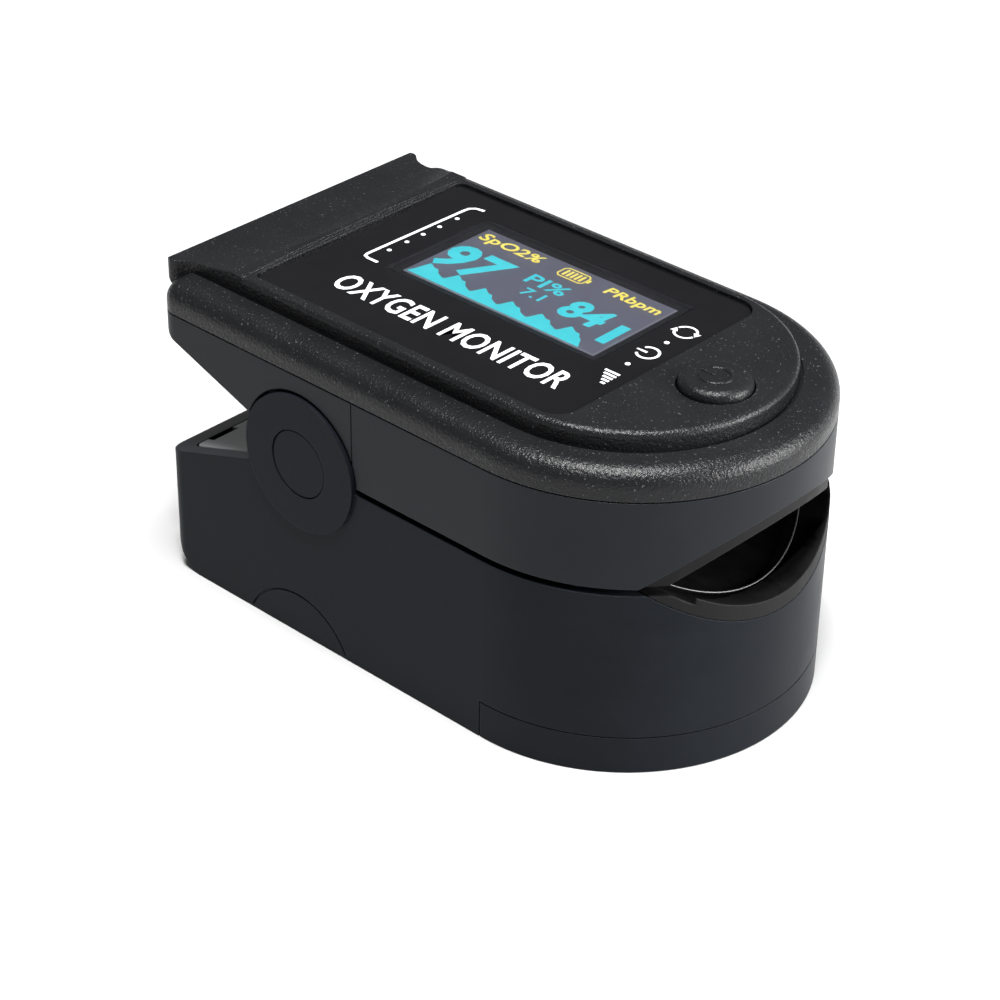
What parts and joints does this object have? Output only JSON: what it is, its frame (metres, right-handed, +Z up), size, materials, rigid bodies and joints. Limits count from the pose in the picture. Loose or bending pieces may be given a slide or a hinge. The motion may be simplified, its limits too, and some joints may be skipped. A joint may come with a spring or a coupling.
{
  "type": "fingertip pulse oximeter",
  "caption": "Spring clip for a fingertip with a display and a button on its upper half, a round hinge at each side, squeeze tails behind and a sliding battery door under the nose.",
  "frame": {"origin": "under the middle of the body, on the plane it rests on", "axes": "+X along the length towards the finger mouth, +Y across, +Z up"},
  "size_m": [0.0576, 0.0354, 0.0313],
  "materials": {
    "cover_plastic": "fine-grained satin black",
    "button_plastic": "fine-grained satin black",
    "housing_plastic": "smooth satin blue-black",
    "inner_plastic": "smooth satin dark grey",
    "door_plastic": "smooth satin blue-black",
    "label_gloss": "glossy black with white print",
    "window_clear": "clear flat",
    "lens_clear": "clear flat",
    "panel_glass": "dark display glass",
    "screen_lit": "lit two-colour display",
    "pad_rubber": "matt black silicone",
    "board_resin": "green solder mask",
    "chip_resin": "black moulding resin",
    "bright_metal": "bright nickel",
    "screw_steel": "zinc plated",
    "spring_steel": "drawn wire",
    "shaft_steel": "ground",
    "lead_film": "amber film",
    "cell_wrap_a": "printed cell sleeve",
    "cell_wrap_b": "printed cell sleeve",
    "lamp_resin": "lamp package",
    "sensor_resin": "sensor package",
    "cap_plastic": "smooth satin blue-black",
    "switch_resin": "ivory moulding resin"
  },
  "bodies": {
    "lower": {"lower_shell": "housing_plastic", "lower_frame": "inner_plastic", "lower_finger_pad": "pad_rubber", "sensor_window": "lens_clear", "sensor_board": "board_resin", "photodiode": "sensor_resin", "battery_left": "cell_wrap_a", "battery_right": "cell_wrap_b", "battery_springs": "spring_steel", "battery_contacts": "bright_metal", "hinge_shaft": "shaft_steel", "hinge_caps": "cap_plastic", "torsion_spring": "spring_steel", "lower_screws": "screw_steel", "lower_lead": "lead_film"},
    "upper": {"top_cover": "cover_plastic", "label_plate": "label_gloss", "display_window": "window_clear", "display_panel": "panel_glass", "display_screen": "screen_lit", "display_bracket": "inner_plastic", "display_ribbon": "lead_film", "main_board": "board_resin", "board_screws": "screw_steel", "processor_chip": "chip_resin", "crystal_can": "bright_metal", "buzzer": "chip_resin", "board_parts": "chip_resin", "switch_body": "bright_metal", "upper_frame": "housing_plastic", "upper_finger_pad": "pad_rubber", "emitter_window": "lens_clear", "emitter_board": "board_resin", "emitter_lamps": "lamp_resin", "upper_screws": "screw_steel", "upper_lead": "lead_film"},
    "button": {"power_button": "button_plastic", "switch_plunger": "switch_resin"},
    "door": {"battery_door": "door_plastic"}
  },
  "joints": [
    {"name": "clip_hinge", "type": "hinge", "parent": "lower", "child": "upper", "pos_m": [-0.0098, 0, 0.01785], "axis": [0, -1, 0], "range_deg": [0, 36], "stiffness_Nm_per_rad": 0.12, "springref_deg": -34.38, "deforming": ["torsion_spring"]},
    {"name": "button_press", "type": "slide", "parent": "upper", "child": "button", "axis": [0, 0, -1], "range_m": [0, 0.0004], "stiffness_N_per_m": 1500, "springref_m": -0.0003},
    {"name": "door_slide", "type": "slide", "parent": "lower", "child": "door", "axis": [1, 0, 0], "range_m": [0, 0.05]}
  ]
}
